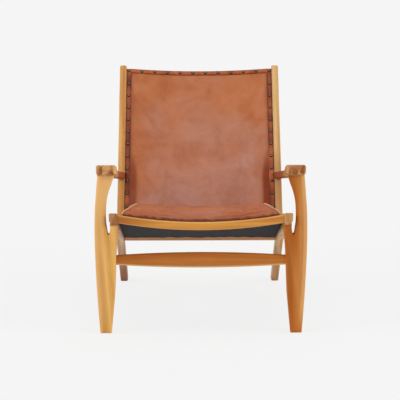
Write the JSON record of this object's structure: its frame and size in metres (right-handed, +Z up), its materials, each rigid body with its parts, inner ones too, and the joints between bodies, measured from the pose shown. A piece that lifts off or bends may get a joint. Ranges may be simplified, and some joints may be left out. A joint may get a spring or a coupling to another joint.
{
  "type": "lounge chair",
  "caption": "Low lounge chair with a reclined leather sling back, padded leather seat, forked wooden front legs and flat armrests.",
  "frame": {"origin": "on the floor under the middle of the chair's outline", "axes": "+Z up; the chair faces -Y and its back leans towards +Y; +X points to the right of someone who stands in front and looks at it"},
  "size_m": [0.6794, 0.8462, 0.7888],
  "materials": {
    "wood": "oiled, satin, teak-like, visible grain",
    "dowel_wood": "bare beech-like",
    "leather": "waxed cognac hide, mottled, soft sheen",
    "strip_leather": "folded dark cognac strip with dark domed nails",
    "webbing": "woven jute-like",
    "foam": "open-cell upholstery foam",
    "lining": "black woven dust cover, matt"
  },
  "bodies": {
    "root": {"right_front_leg": "wood", "right_side_rail": "wood", "right_upright": "wood", "right_armrest": "wood", "left_front_leg": "wood", "left_side_rail": "wood", "left_upright": "wood", "left_armrest": "wood", "seat_front_rail": "wood", "seat_rear_rail": "wood", "front_stretcher": "wood", "back_top_rail": "wood", "back_lower_rail": "wood", "right_arm_leg_dowel_1": "dowel_wood", "right_arm_leg_dowel_2": "dowel_wood", "right_fork_dowel_1": "dowel_wood", "right_fork_dowel_2": "dowel_wood", "right_arm_back_dowel": "dowel_wood", "left_arm_leg_dowel_1": "dowel_wood", "left_arm_leg_dowel_2": "dowel_wood", "left_fork_dowel_1": "dowel_wood", "left_fork_dowel_2": "dowel_wood", "left_arm_back_dowel": "dowel_wood", "back_sling": "leather", "right_back_strip": "strip_leather", "left_back_strip": "strip_leather", "top_back_strip": "strip_leather", "seat_strap_1": "webbing", "seat_strap_2": "webbing", "seat_strap_3": "webbing", "seat_strap_4": "webbing", "seat_foam": "foam", "seat_cover": "leather", "seat_lining": "lining"}
  },
  "joints": []
}
